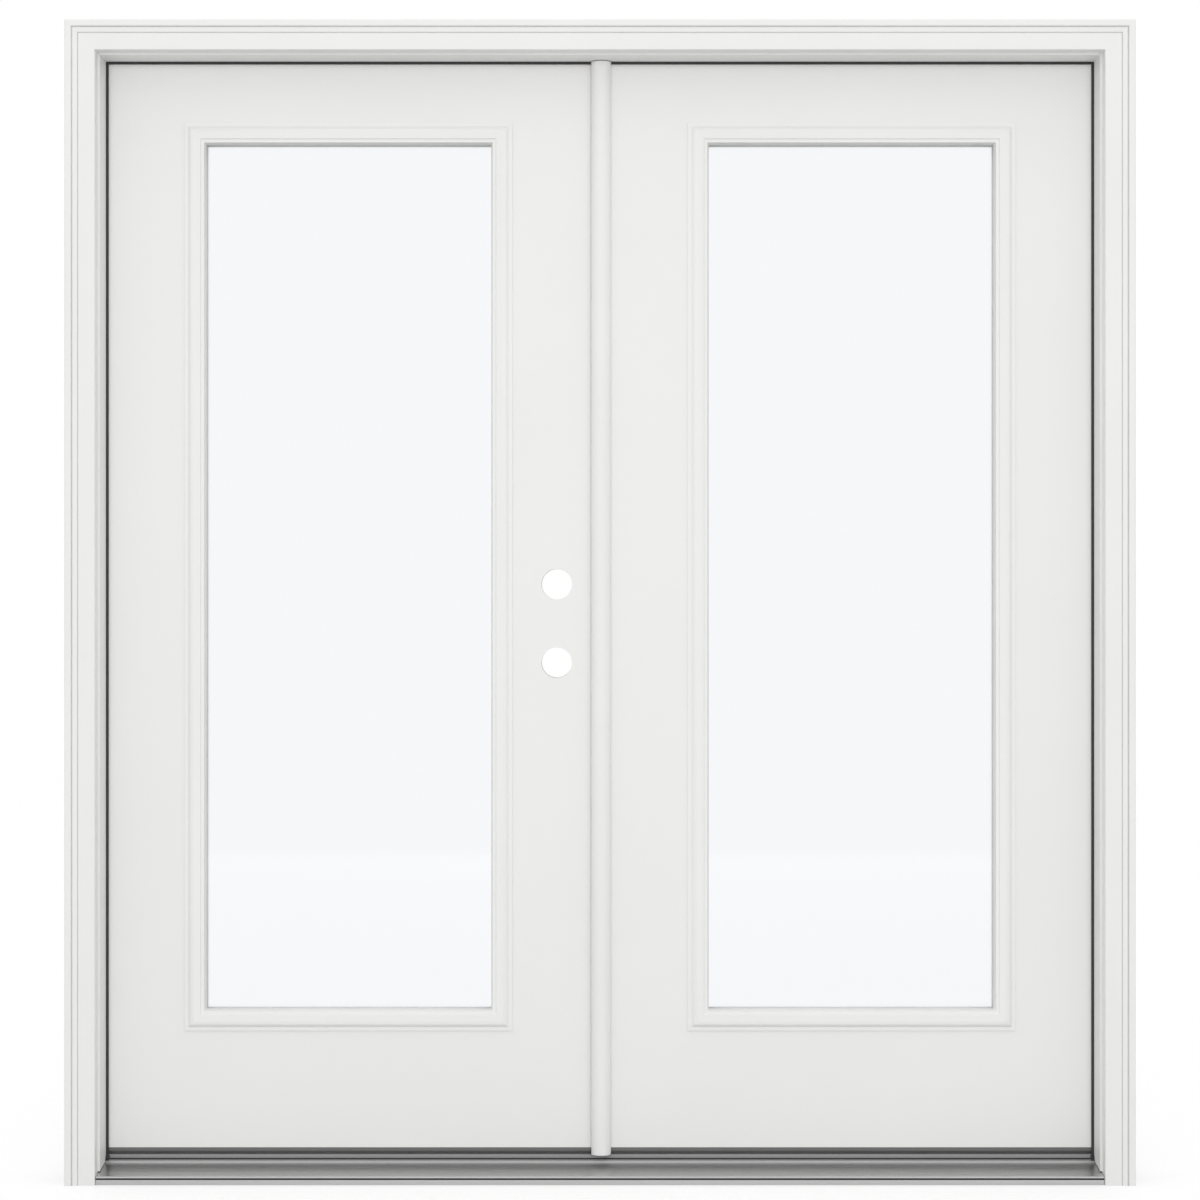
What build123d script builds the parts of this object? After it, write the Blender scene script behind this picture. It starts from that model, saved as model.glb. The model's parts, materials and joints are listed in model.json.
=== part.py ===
from build123d import *
import os

# Pair of inswing patio doors in a brickmoulded frame. Millimetres, X to the right,
# Y into the room, Z up. The origin is under the sill, at mid width, in the plane where
# the back of the brickmould meets the outer edge of the jambs.

ALONG_X = (1, 0, 0)
ALONG_Y = (0, 1, 0)
ALONG_Z = (0, 0, 1)
OVERRUN = 5.0
ROUND_SHARE = 1 - 0.5 ** 0.5

# Jambs and head
FRAME_WIDTH = 1816.0
FRAME_HEIGHT = 2007.0
JAMB_DEPTH = 116.0
JAMB_THICKNESS = 31.75
RABBET_STEP = 12.7
RABBET_WIDTH = 51.0
KERF_WIDTH = 3.0
KERF_DEPTH = 9.0
KERF_INSET = 4.5

EDGE_ROUND = 1.5

# Brickmould, with its section as shares of width (from the inner edge) and thickness.
# In every section a lone point ends a straight run, and a pair (middle, end) makes an arc.
MOULD_WIDTH = 53.0
MOULD_THICKNESS = 32.0
MOULD_REVEAL = 4.0
MOULD_SECTION_SHARES = [
    (0.0, 0.0), (0.0, 0.86), [(0.012, 0.892), (0.04, 0.905)], (0.545, 0.905), (0.565, 0.82),
    (0.585, 0.915), (0.735, 0.95), (0.757, 0.84), (0.783, 0.965), [(0.795, 0.991), (0.82, 1.0)],
    (0.94, 1.0), [(0.982, 0.974), (1.0, 0.9)], (1.0, 0.0),
]

# Aluminium sill deck, its substrate and the threshold cap under the leaves
NOSE_REACH = 24.0
NOSE_HEIGHT = 15.4
NOSE_EDGE = 1.5
NOSE_CLEARANCE = 0.5
NOSE_GROOVE_BASE = 9.0
NOSE_GROOVE_HEIGHT = 3.0
NOSE_GROOVE_DEPTH = 4.3
NOSE_WALL = 7.0
DECK_WALL = 2.5
DECK_RISE = 9.0
LIP_THICKNESS = 3.0
LIP_HEIGHT = 3.0
LIP_SETBACK = 5.0
STEP_HEIGHT = 29.0
CAP_HEIGHT = 8.0
CAP_EDGE = 2.0
CAP_SLOPE_RUN = 8.0
CAP_SLOPE_DROP = 3.5
CAP_REBATE = 1.9
FOOT_GASKET = 1.2

# Leaves
LEAF_THICKNESS = 44.5
LEAF_SETBACK = 1.5
LEAF_GAP = 3.2
MEETING_GAP = 14.0
SKIN_THICKNESS = 0.7
SKIN_RETURN = 9.0
STILE_WIDTH = 42.0
TOP_RAIL_HEIGHT = 45.0
BOTTOM_RAIL_HEIGHT = 70.0

# Bottom sweep: a base strip with a drip edge and fins that hang over the threshold cap
SWEEP_HEIGHT = 12.0
SWEEP_CLEARANCE = 0.5
SWEEP_BASE = 2.5
SWEEP_END_MARGIN = 1.0
SWEEP_DRIP_HEIGHT = 6.0
SWEEP_DRIP_THICKNESS = 4.0
SWEEP_FIN_THICKNESS = 2.0
SWEEP_FIN_COUNT = 3
SWEEP_FIN_PITCH = 11.0

# Glazed lite: its margins on the leaf, moulded frame on both faces, sealed double glazing
LITE_SIDE_MARGIN = 148.4
LITE_TOP_MARGIN = 117.5
LITE_BOTTOM_MARGIN = 207.2
LITE_BORDER = 38.0
LITE_PROUD = 10.0
LITE_OVERLAP = 15.0
LITE_FIT = 0.5
LITE_LEG = 6.5
GLAZING_THICKNESS = 25.0
GLAZING_BITE = 14.0
PANE_THICKNESS = 3.0
SPACER_WIDTH = 8.0
LITE_FACE_SHARES = [
    (0.074, 0.44), (0.22, 0.54), (0.245, 0.78), (0.54, 1.0), [(0.705, 0.828), (0.826, 0.36)],
    (1.0, 0.32), (1.0, 0.0),
]

# Lock preparation in the active leaf
BACKSET = 69.85
CROSS_BORE_RADIUS = 26.99
EDGE_BORE_RADIUS = 12.7
LOCKSET_HEIGHT = 909.0
BORE_SPACING = 139.7
FACEPLATE_WIDTH = 25.4
FACEPLATE_HEIGHT = 57.15
FACEPLATE_DEPTH = 4.0
LOCK_BLOCK_WIDTH = 90.0
LOCK_BLOCK_MARGIN = 110.0
STRIKE_WIDTH = 28.6
STRIKE_HEIGHT = 57.15
STRIKE_DEPTH = 1.6
KEEPER_WIDTH = 16.0
KEEPER_HEIGHT = 30.0
KEEPER_DEPTH = 8.0

# Weatherstrips
STRIP_PROUD = 4.6
STRIP_CLEARANCE = 0.3
FIN_PLAY = 0.4

# Astragal: a stem on the meeting edge of the passive leaf under a half-round face
ASTRAGAL_FACE_WIDTH = 35.0
ASTRAGAL_FACE_OFFSET = 2.0
ASTRAGAL_EDGE = 2.0
ASTRAGAL_STEM = 10.0
ASTRAGAL_BACK_GAP = 4.0
ASTRAGAL_TOP_CLEARANCE = 1.25
ASTRAGAL_FOOT_CLEARANCE = 1.0
ASTRAGAL_STRIP_WIDTH = 6.5
ASTRAGAL_STRIP_INSET = 1.0
HEAD_STRIP_BREAK = 1.0

# Flush bolts in the astragal stem
BOLT_RADIUS = 3.0
BOLT_CLEARANCE = 0.08
BOLT_TRAVEL = 14.0
BOLT_END_PLAY = 2.0
BOLT_SETBACK = 1.0
BOLT_TO_BACK = 14.5
BOLT_HOLE_RADIUS = 4.0
CASE_HEIGHT = 125.0
CASE_WIDTH = 18.0
CASE_DEPTH = 8.0
CASE_TAIL = 10.0
LUG_WIDTH = 4.4
LUG_HEIGHT = 18.0
LUG_PROUD = 1.0
LUG_DISTANCE = 66.0
LUG_PLAY = 0.4

# Butt hinges
HINGE_COUNT = 3
HINGE_HEIGHT = 101.6
HINGE_TOP_DROP = 178.0
HINGE_FOOT_RISE = 254.0
HINGE_PLATE = 2.5
HINGE_PLATE_WIDTH = 34.0
HINGE_AXIS_SETOUT = 7.0
KNUCKLE_RADIUS = 6.5
KNUCKLE_COUNT = 3
KNUCKLE_GAP = 0.4
PIN_RADIUS = 3.0
PIN_CLEARANCE = 0.08

# Places that follow from the sizes above, on the left half where X is negative
HALF_FRAME = FRAME_WIDTH / 2
STOP_X = HALF_FRAME - JAMB_THICKNESS
RABBET_X = STOP_X + RABBET_STEP
RABBET_Y = JAMB_DEPTH - RABBET_WIDTH
STOP_Z = FRAME_HEIGHT - JAMB_THICKNESS
RABBET_Z = STOP_Z + RABBET_STEP
MOULD_INNER_X = STOP_X + MOULD_REVEAL
MOULD_INNER_Z = STOP_Z + MOULD_REVEAL
LIP_BACK = RABBET_Y - LIP_SETBACK
LIP_FRONT = LIP_BACK - LIP_THICKNESS
CAP_TOP = STEP_HEIGHT + CAP_HEIGHT
LEAF_BACK = JAMB_DEPTH - LEAF_SETBACK
LEAF_FRONT = LEAF_BACK - LEAF_THICKNESS
LEAF_MIDDLE = (LEAF_FRONT + LEAF_BACK) / 2
CORE_FRONT = LEAF_FRONT + SKIN_THICKNESS
CORE_BACK = LEAF_BACK - SKIN_THICKNESS
LEAF_BOTTOM = CAP_TOP + SWEEP_HEIGHT
LEAF_TOP = RABBET_Z - LEAF_GAP
HINGE_EDGE = -(RABBET_X - LEAF_GAP)
MEETING_EDGE = -MEETING_GAP / 2
LITE_X = (HINGE_EDGE + MEETING_EDGE) / 2
LITE_TOP = LEAF_TOP - LITE_TOP_MARGIN
LITE_BOTTOM = LEAF_BOTTOM + LITE_BOTTOM_MARGIN
SIGHT_WIDTH = MEETING_EDGE - HINGE_EDGE - 2 * (LITE_SIDE_MARGIN + LITE_BORDER)
SIGHT_HEIGHT = LITE_TOP - LITE_BOTTOM - 2 * LITE_BORDER
SIGHT_CENTRE_HEIGHT = (LITE_TOP + LITE_BOTTOM) / 2
GLASS_FRONT = LEAF_MIDDLE - GLAZING_THICKNESS / 2
GLASS_BACK = LEAF_MIDDLE + GLAZING_THICKNESS / 2
CUTOUT_REACH = LITE_BORDER - LITE_OVERLAP
BORE_X = MEETING_EDGE - BACKSET
BORE_HEIGHTS = [LOCKSET_HEIGHT, LOCKSET_HEIGHT + BORE_SPACING]
LOCK_STILE_INNER = MEETING_EDGE - STILE_WIDTH
HINGE_AXIS_X = HINGE_EDGE - LEAF_GAP / 2
HINGE_AXIS_Y = JAMB_DEPTH + HINGE_AXIS_SETOUT
STEM_RIGHT = MEETING_GAP / 2
STEM_LEFT = STEM_RIGHT - ASTRAGAL_STEM
ASTRAGAL_BACK = LEAF_FRONT - ASTRAGAL_BACK_GAP
ASTRAGAL_LEFT = ASTRAGAL_FACE_OFFSET - ASTRAGAL_FACE_WIDTH / 2
ASTRAGAL_RIGHT = ASTRAGAL_FACE_OFFSET + ASTRAGAL_FACE_WIDTH / 2
ASTRAGAL_FOOT = CAP_TOP + ASTRAGAL_FOOT_CLEARANCE
ASTRAGAL_FACE_TOP = STOP_Z - ASTRAGAL_TOP_CLEARANCE
STRIP_BACK = LEAF_FRONT - STRIP_CLEARANCE
BOLT_X = STEM_LEFT + CASE_DEPTH / 2
BOLT_Y = LEAF_BACK - BOLT_TO_BACK


def block(x_limits, y_limits, z_limits):
    """A box given by its low and high limits along each axis."""
    limits = (x_limits, y_limits, z_limits)
    middle = [(low + high) / 2 for low, high in limits]
    sides = [high - low for low, high in limits]
    return Pos(*middle) * Box(*sides)


def closed_face(runs):
    """A flat face inside runs that start at a lone point and close back to it."""
    here = runs[0]
    edges = []
    for run in runs[1:]:
        if isinstance(run, list):
            edges.append(ThreePointArc(here, run[0], run[1]))
            here = run[1]
        else:
            edges.append(Line(here, run))
            here = run
    edges.append(Line(here, runs[0]))
    return make_face(edges)


def placed(runs, place):
    """The same runs with each point put where place says."""
    return [[place(*point) for point in run] if isinstance(run, list) else place(*run) for run in runs]


def rounded(corner, radius, coming, leaving):
    """Runs round a square corner, between the directions that come to it and leave it."""
    (x, y), (a, b), (c, d) = corner, coming, leaving
    near = radius * ROUND_SHARE
    middle = (x + (c - a) * near, y + (d - b) * near)
    return [(x - a * radius, y - b * radius), [middle, (x + c * radius, y + d * radius)]]


def upright(runs, z_limits):
    """A bar along Z over a section drawn in (x, y)."""
    section = Pos(0, 0, z_limits[0]) * closed_face(runs)
    return extrude(section, z_limits[1] - z_limits[0], dir=ALONG_Z)


def crossbar(runs, x_limits):
    """A bar along X over a section drawn in (y, z)."""
    section = Plane.YZ.offset(x_limits[0]) * closed_face(runs)
    return extrude(section, x_limits[1] - x_limits[0], dir=ALONG_X)


def rod(radius, base, axis, length):
    """A round bar that starts at base and runs along axis."""
    return extrude(Plane(base, z_dir=axis) * Circle(radius), length)


def to_right(solid):
    """The same piece on the other half of the door."""
    return mirror(solid, about=Plane.YZ)


def mitre(corner_x, corner_z, slope):
    """The 45 degree plane through a frame corner, facing up and to the side that slope gives."""
    return Plane((corner_x, 0, corner_z), z_dir=(slope, 0, 1))


def mitred_ring(runs, reach, centre, half_width, half_height):
    """A rectangular ring of one section, drawn in (outward, y) from the inner edge out to reach."""
    side_runs = placed(runs, lambda outward, y: (half_width + outward, y))
    side = upright(side_runs, (-half_height - reach, half_height + reach))
    side = split(side, bisect_by=mitre(half_width, half_height, -1), keep=Keep.BOTTOM)
    side = split(side, bisect_by=mitre(half_width, -half_height, 1), keep=Keep.TOP)
    top_runs = placed(runs, lambda outward, y: (y, half_height + outward))
    top = crossbar(top_runs, (-half_width - reach, half_width + reach))
    top = split(top, bisect_by=mitre(half_width, half_height, -1), keep=Keep.TOP)
    top = split(top, bisect_by=mitre(-half_width, half_height, 1), keep=Keep.TOP)
    ring = side + mirror(side, about=Plane.YZ) + top + mirror(top, about=Plane.XY)
    return Pos(*centre) * ring


# Jambs, head and brickmould


def deck_height(y):
    """Height of the sloping sill deck at a distance y from the brickmould's back."""
    return NOSE_HEIGHT + DECK_RISE * (y + NOSE_REACH) / (LIP_BACK + NOSE_REACH)


def lip_top():
    return deck_height(LIP_BACK) + LIP_HEIGHT


def sill_outline(cover):
    """Side outline of the sill under a jamb foot, grown by the thickness of a cover."""
    step_front = LIP_BACK - cover
    lip_front = LIP_FRONT - cover
    return [
        (0, 0), (0, deck_height(0) + cover), (lip_front, deck_height(lip_front) + cover),
        (lip_front, lip_top() + cover), (step_front, lip_top() + cover),
        (step_front, STEP_HEIGHT + cover), (JAMB_DEPTH, STEP_HEIGHT + cover), (JAMB_DEPTH, 0),
    ]


def jamb_section():
    """Rabbeted section of the left jamb, with its outer arris eased."""
    arris = rounded((-STOP_X, 0), EDGE_ROUND, (1, 0), (0, 1))
    rabbet = [(-STOP_X, RABBET_Y), (-RABBET_X, RABBET_Y), (-RABBET_X, JAMB_DEPTH), (-HALF_FRAME, JAMB_DEPTH)]
    return [(-HALF_FRAME, 0)] + arris + rabbet


def left_jamb():
    """Rabbeted jamb with a kerf for the weatherstrip, hinge mortises and a foot coped to the sill."""
    jamb = upright(jamb_section(), (0, FRAME_HEIGHT))
    kerf_left = -RABBET_X + KERF_INSET
    kerf_y = (RABBET_Y - KERF_DEPTH, RABBET_Y)
    jamb -= block((kerf_left, kerf_left + KERF_WIDTH), kerf_y, (0, STOP_Z))
    jamb -= crossbar(sill_outline(FOOT_GASKET), (-HALF_FRAME, -STOP_X))
    for base in hinge_bases():
        jamb -= hinge_plate(-RABBET_X - HINGE_PLATE, base)
    return jamb


def left_foot_gasket():
    """Thin seal between the coped jamb foot and the sill."""
    foot = upright(jamb_section(), (0, CAP_TOP))
    cover = crossbar(sill_outline(FOOT_GASKET), (-HALF_FRAME, -STOP_X))
    return (foot & cover) - crossbar(sill_outline(0), (-HALF_FRAME, -STOP_X))


def head_jamb():
    """Head between the jambs, with the same rabbet and kerf and a hole for the top flush bolt."""
    arris = rounded((0, STOP_Z), EDGE_ROUND, (0, -1), (1, 0))
    stop = [(0, FRAME_HEIGHT)] + arris + [(RABBET_Y, STOP_Z), (RABBET_Y, FRAME_HEIGHT)]
    head = crossbar(stop, (-STOP_X, STOP_X))
    head += block((-RABBET_X, RABBET_X), (RABBET_Y, JAMB_DEPTH), (RABBET_Z, FRAME_HEIGHT))
    kerf_top = RABBET_Z - KERF_INSET
    kerf_y = (RABBET_Y - KERF_DEPTH, RABBET_Y)
    head -= block((-STOP_X, STOP_X), kerf_y, (kerf_top - KERF_WIDTH, kerf_top))
    head -= rod(BOLT_HOLE_RADIUS, (BOLT_X, BOLT_Y, RABBET_Z), ALONG_Z, BOLT_TRAVEL)
    return head


def mould_section():
    """Brickmould section in (outward from the inner edge, y)."""
    return placed(MOULD_SECTION_SHARES, lambda across, out: (across * MOULD_WIDTH, -out * MOULD_THICKNESS))


def left_brickmould():
    runs = placed(mould_section(), lambda across, y: (-MOULD_INNER_X - across, y))
    leg = upright(runs, (0, MOULD_INNER_Z + MOULD_WIDTH))
    return split(leg, bisect_by=mitre(-MOULD_INNER_X, MOULD_INNER_Z, 1), keep=Keep.BOTTOM)


def head_brickmould():
    runs = placed(mould_section(), lambda across, y: (y, MOULD_INNER_Z + across))
    reach = MOULD_INNER_X + MOULD_WIDTH
    head = crossbar(runs, (-reach, reach))
    head = split(head, bisect_by=mitre(-MOULD_INNER_X, MOULD_INNER_Z, 1), keep=Keep.TOP)
    return split(head, bisect_by=mitre(MOULD_INNER_X, MOULD_INNER_Z, -1), keep=Keep.TOP)


# Sill


def leg_notches():
    """The two corners that the brickmould legs take out of the sill's nose."""
    nose_half = MOULD_INNER_X - NOSE_CLEARANCE
    notch = block((-HALF_FRAME, -nose_half), (-NOSE_REACH - OVERRUN, 0), (-OVERRUN, CAP_TOP))
    return notch + to_right(notch)


def sill_deck():
    """Aluminium extrusion: grooved nose, sloping deck and a water lip at the back."""
    front = -NOSE_REACH
    groove_y = front + NOSE_GROOVE_DEPTH
    groove_top = NOSE_GROOVE_BASE + NOSE_GROOVE_HEIGHT
    wall_y = front + NOSE_WALL
    nose = [
        (front, 0), (front, NOSE_GROOVE_BASE), (groove_y, NOSE_GROOVE_BASE), (groove_y, groove_top),
        (front, groove_top),
    ]
    nose += rounded((front, NOSE_HEIGHT), NOSE_EDGE, (0, 1), (1, 0))
    lip = [(LIP_FRONT, deck_height(LIP_FRONT)), (LIP_FRONT, lip_top()), (LIP_BACK, lip_top())]
    underside = [
        (LIP_BACK, deck_height(LIP_BACK) - DECK_WALL), (wall_y, deck_height(wall_y) - DECK_WALL), (wall_y, 0),
    ]
    return crossbar(nose + lip + underside, (-HALF_FRAME, HALF_FRAME)) - leg_notches()


def bottom_bolt_hole():
    top = (BOLT_X, BOLT_Y, ASTRAGAL_FOOT - BOLT_TRAVEL - BOLT_END_PLAY)
    return rod(BOLT_HOLE_RADIUS, top, ALONG_Z, BOLT_TRAVEL + BOLT_END_PLAY)


def sill_substrate():
    """Solid base under the deck that rises behind it to carry the threshold cap."""
    wall_y = -NOSE_REACH + NOSE_WALL
    outline = [
        (wall_y, 0), (wall_y, deck_height(wall_y) - DECK_WALL), (LIP_BACK, deck_height(LIP_BACK) - DECK_WALL),
        (LIP_BACK, STEP_HEIGHT), (JAMB_DEPTH, STEP_HEIGHT), (JAMB_DEPTH, 0),
    ]
    return crossbar(outline, (-HALF_FRAME, HALF_FRAME)) - leg_notches() - bottom_bolt_hole()


def threshold_cap():
    """Cap between the jambs that the leaves close over, rebated in front and sloped off to the room."""
    rebate_y = RABBET_Y + CAP_REBATE
    rebate_z = STEP_HEIGHT + CAP_REBATE
    rebate = [(rebate_y, STEP_HEIGHT), (rebate_y, rebate_z), (RABBET_Y, rebate_z)]
    edge = rounded((RABBET_Y, CAP_TOP), CAP_EDGE, (0, 1), (1, 0))
    slope = [(JAMB_DEPTH - CAP_SLOPE_RUN, CAP_TOP), (JAMB_DEPTH, CAP_TOP - CAP_SLOPE_DROP)]
    runs = rebate + edge + slope + [(JAMB_DEPTH, STEP_HEIGHT)]
    return crossbar(runs, (-RABBET_X, RABBET_X)) - bottom_bolt_hole()


# Weatherstrips of the frame


def strip_section():
    """Strip section in (depth into the opening from the rabbet face, y): fin and bulb."""
    fin_near = KERF_INSET + FIN_PLAY
    fin_far = KERF_INSET + KERF_WIDTH - FIN_PLAY
    fin_tip = RABBET_Y - KERF_DEPTH + FIN_PLAY
    bulb_round = (STRIP_BACK - RABBET_Y) / 2
    tip = RABBET_STEP + STRIP_PROUD
    return [
        (fin_near, fin_tip), (fin_far, fin_tip), (fin_far, RABBET_Y), (tip - bulb_round, RABBET_Y),
        [(tip, RABBET_Y + bulb_round), (tip - bulb_round, STRIP_BACK)],
        (FIN_PLAY, STRIP_BACK), (FIN_PLAY, RABBET_Y), (fin_near, RABBET_Y),
    ]


def left_weatherstrip():
    runs = placed(strip_section(), lambda depth, y: (-RABBET_X + depth, y))
    return upright(runs, (CAP_TOP + STRIP_CLEARANCE, STOP_Z - FIN_PLAY))


def head_weatherstrip():
    """Two lengths that leave room for the astragal between them."""
    runs = placed(strip_section(), lambda depth, y: (y, RABBET_Z - depth))
    end = STOP_X - STRIP_PROUD - FIN_PLAY
    left = crossbar(runs, (-end, ASTRAGAL_LEFT - HEAD_STRIP_BREAK))
    right = crossbar(runs, (ASTRAGAL_RIGHT + HEAD_STRIP_BREAK, end))
    return left + right


# Hinges


def hinge_bases():
    """Heights of the lower ends of the hinges, evenly spread between the top and bottom ones."""
    top = LEAF_TOP - HINGE_TOP_DROP - HINGE_HEIGHT
    bottom = LEAF_BOTTOM + HINGE_FOOT_RISE
    return [bottom + (top - bottom) * index / (HINGE_COUNT - 1) for index in range(HINGE_COUNT)]


def hinge_plate(x, base):
    """The plate of one hinge leaf, let in flush from the room side."""
    plate_y = (JAMB_DEPTH - HINGE_PLATE_WIDTH, JAMB_DEPTH)
    return block((x, x + HINGE_PLATE), plate_y, (base, base + HINGE_HEIGHT))


def hinge_leaf(x, base, first):
    """Plate with every second knuckle of the barrel, counted from first."""
    leaf = hinge_plate(x, base)
    pitch = HINGE_HEIGHT / KNUCKLE_COUNT
    for index in range(first, KNUCKLE_COUNT, 2):
        foot = base + pitch * index + KNUCKLE_GAP / 2
        length = pitch - KNUCKLE_GAP
        leaf += rod(KNUCKLE_RADIUS, (HINGE_AXIS_X, HINGE_AXIS_Y, foot), ALONG_Z, length)
        leaf += block((x, x + HINGE_PLATE), (JAMB_DEPTH, HINGE_AXIS_Y), (foot, foot + length))
    return leaf - rod(PIN_RADIUS + PIN_CLEARANCE, (HINGE_AXIS_X, HINGE_AXIS_Y, base), ALONG_Z, HINGE_HEIGHT)


def frame_hinges():
    return Part() + [hinge_leaf(-RABBET_X - HINGE_PLATE, base, 0) for base in hinge_bases()]


def leaf_hinges():
    return Part() + [hinge_leaf(HINGE_EDGE, base, 1) for base in hinge_bases()]


def hinge_pins():
    feet = [(HINGE_AXIS_X, HINGE_AXIS_Y, base) for base in hinge_bases()]
    return Part() + [rod(PIN_RADIUS, foot, ALONG_Z, HINGE_HEIGHT) for foot in feet]


# Leaves, drawn for the left half


def cross_bores():
    """The two lock bores through both faces of the active leaf."""
    length = LEAF_THICKNESS + 2 * OVERRUN
    bores = [rod(CROSS_BORE_RADIUS, (BORE_X, LEAF_FRONT - OVERRUN, z), ALONG_Y, length) for z in BORE_HEIGHTS]
    return Part() + bores


def edge_bores():
    """Latch bores from the meeting edge into the lock bores, under let-in faceplates."""
    cuts = Part()
    half_width = FACEPLATE_WIDTH / 2
    half_height = FACEPLATE_HEIGHT / 2
    plate_x = (MEETING_EDGE - FACEPLATE_DEPTH, MEETING_EDGE + OVERRUN)
    for z in BORE_HEIGHTS:
        cuts += rod(EDGE_BORE_RADIUS, (BORE_X, LEAF_MIDDLE, z), ALONG_X, BACKSET + OVERRUN)
        plate_y = (LEAF_MIDDLE - half_width, LEAF_MIDDLE + half_width)
        cuts += block(plate_x, plate_y, (z - half_height, z + half_height))
    return cuts


def lite_cutout():
    half_width = SIGHT_WIDTH / 2 + CUTOUT_REACH
    half_height = SIGHT_HEIGHT / 2 + CUTOUT_REACH
    return block(
        (LITE_X - half_width, LITE_X + half_width),
        (LEAF_FRONT - OVERRUN, LEAF_BACK + OVERRUN),
        (SIGHT_CENTRE_HEIGHT - half_height, SIGHT_CENTRE_HEIGHT + half_height),
    )


def skin_returns(return_y):
    """The narrow flanges of a skin that fold round both upright edges of the leaf."""
    hinge_x = (HINGE_EDGE, HINGE_EDGE + SKIN_THICKNESS)
    meeting_x = (MEETING_EDGE - SKIN_THICKNESS, MEETING_EDGE)
    return Part() + [block(side_x, return_y, (LEAF_BOTTOM, LEAF_TOP)) for side_x in (hinge_x, meeting_x)]


def exterior_returns():
    return skin_returns((LEAF_FRONT, LEAF_FRONT + SKIN_RETURN))


def interior_returns():
    return skin_returns((LEAF_BACK - SKIN_RETURN, LEAF_BACK))


def exterior_skin():
    sheet = block((HINGE_EDGE, MEETING_EDGE), (LEAF_FRONT, CORE_FRONT), (LEAF_BOTTOM, LEAF_TOP))
    return sheet + exterior_returns() - lite_cutout()


def interior_skin():
    sheet = block((HINGE_EDGE, MEETING_EDGE), (CORE_BACK, LEAF_BACK), (LEAF_BOTTOM, LEAF_TOP))
    skin = sheet + interior_returns() - lite_cutout()
    for base in hinge_bases():
        skin -= hinge_plate(HINGE_EDGE, base)
    return skin


def stile(x_limits):
    """A full-height timber stile, rebated for the skins' returns."""
    bar = block(x_limits, (CORE_FRONT, CORE_BACK), (LEAF_BOTTOM, LEAF_TOP))
    return bar - exterior_returns() - interior_returns()


def hinge_stile():
    bar = stile((HINGE_EDGE, HINGE_EDGE + STILE_WIDTH))
    for base in hinge_bases():
        bar -= hinge_plate(HINGE_EDGE, base)
    return bar


def meeting_stile():
    return stile((LOCK_STILE_INNER, MEETING_EDGE))


def rail(z_limits):
    return block((HINGE_EDGE + STILE_WIDTH, LOCK_STILE_INNER), (CORE_FRONT, CORE_BACK), z_limits)


def top_rail():
    return rail((LEAF_TOP - TOP_RAIL_HEIGHT, LEAF_TOP))


def bottom_rail():
    return rail((LEAF_BOTTOM, LEAF_BOTTOM + BOTTOM_RAIL_HEIGHT))


def foam_core():
    return rail((LEAF_BOTTOM + BOTTOM_RAIL_HEIGHT, LEAF_TOP - TOP_RAIL_HEIGHT)) - lite_cutout()


def lock_block():
    """Solid wood behind the lock stile, round both bores."""
    block_x = (LOCK_STILE_INNER - LOCK_BLOCK_WIDTH, LOCK_STILE_INNER)
    block_z = (BORE_HEIGHTS[0] - LOCK_BLOCK_MARGIN, BORE_HEIGHTS[1] + LOCK_BLOCK_MARGIN)
    return block(block_x, (CORE_FRONT, CORE_BACK), block_z)


def lite_section():
    """Section of the exterior lite frame: moulded face, rest for the pane and a leg in the cut-out."""
    face = placed(LITE_FACE_SHARES, lambda across, out: (across * LITE_BORDER, LEAF_FRONT - out * LITE_PROUD))
    leg_outer = CUTOUT_REACH - LITE_FIT
    leg_inner = leg_outer - LITE_LEG
    return [(0, GLASS_FRONT)] + face + [
        (leg_outer, LEAF_FRONT), (leg_outer, LEAF_MIDDLE), (leg_inner, LEAF_MIDDLE), (leg_inner, GLASS_FRONT),
    ]


def exterior_lite_frame():
    centre = (LITE_X, 0, SIGHT_CENTRE_HEIGHT)
    return mitred_ring(lite_section(), LITE_BORDER, centre, SIGHT_WIDTH / 2, SIGHT_HEIGHT / 2)


def interior_lite_frame():
    return mirror(exterior_lite_frame(), about=Plane((0, LEAF_MIDDLE, 0), z_dir=ALONG_Y))


def glazing_block(y_limits, inset):
    half_width = SIGHT_WIDTH / 2 + GLAZING_BITE - inset
    half_height = SIGHT_HEIGHT / 2 + GLAZING_BITE - inset
    return block(
        (LITE_X - half_width, LITE_X + half_width),
        y_limits,
        (SIGHT_CENTRE_HEIGHT - half_height, SIGHT_CENTRE_HEIGHT + half_height),
    )


def exterior_pane():
    return glazing_block((GLASS_FRONT, GLASS_FRONT + PANE_THICKNESS), 0)


def interior_pane():
    return glazing_block((GLASS_BACK - PANE_THICKNESS, GLASS_BACK), 0)


def glass_spacer():
    spacer_y = (GLASS_FRONT + PANE_THICKNESS, GLASS_BACK - PANE_THICKNESS)
    return glazing_block(spacer_y, 0) - glazing_block(spacer_y, SPACER_WIDTH)


def sweep_section():
    """Sweep section in (y, z), walked along the underside fin by fin."""
    base = LEAF_BOTTOM - SWEEP_BASE
    tip = CAP_TOP + SWEEP_CLEARANCE
    drip_foot = LEAF_BOTTOM - SWEEP_DRIP_HEIGHT
    drip_back = CORE_FRONT + SWEEP_DRIP_THICKNESS
    runs = [(CORE_BACK, LEAF_BOTTOM), (CORE_FRONT, LEAF_BOTTOM), (CORE_FRONT, drip_foot)]
    runs += [(drip_back, drip_foot), (drip_back, base)]
    half_fin = SWEEP_FIN_THICKNESS / 2
    first = LEAF_MIDDLE - SWEEP_FIN_PITCH * (SWEEP_FIN_COUNT - 1) / 2
    for index in range(SWEEP_FIN_COUNT):
        fin = first + SWEEP_FIN_PITCH * index
        runs += [(fin - half_fin, base), (fin - half_fin, tip), (fin + half_fin, tip), (fin + half_fin, base)]
    return runs + [(CORE_BACK, base)]


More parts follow.
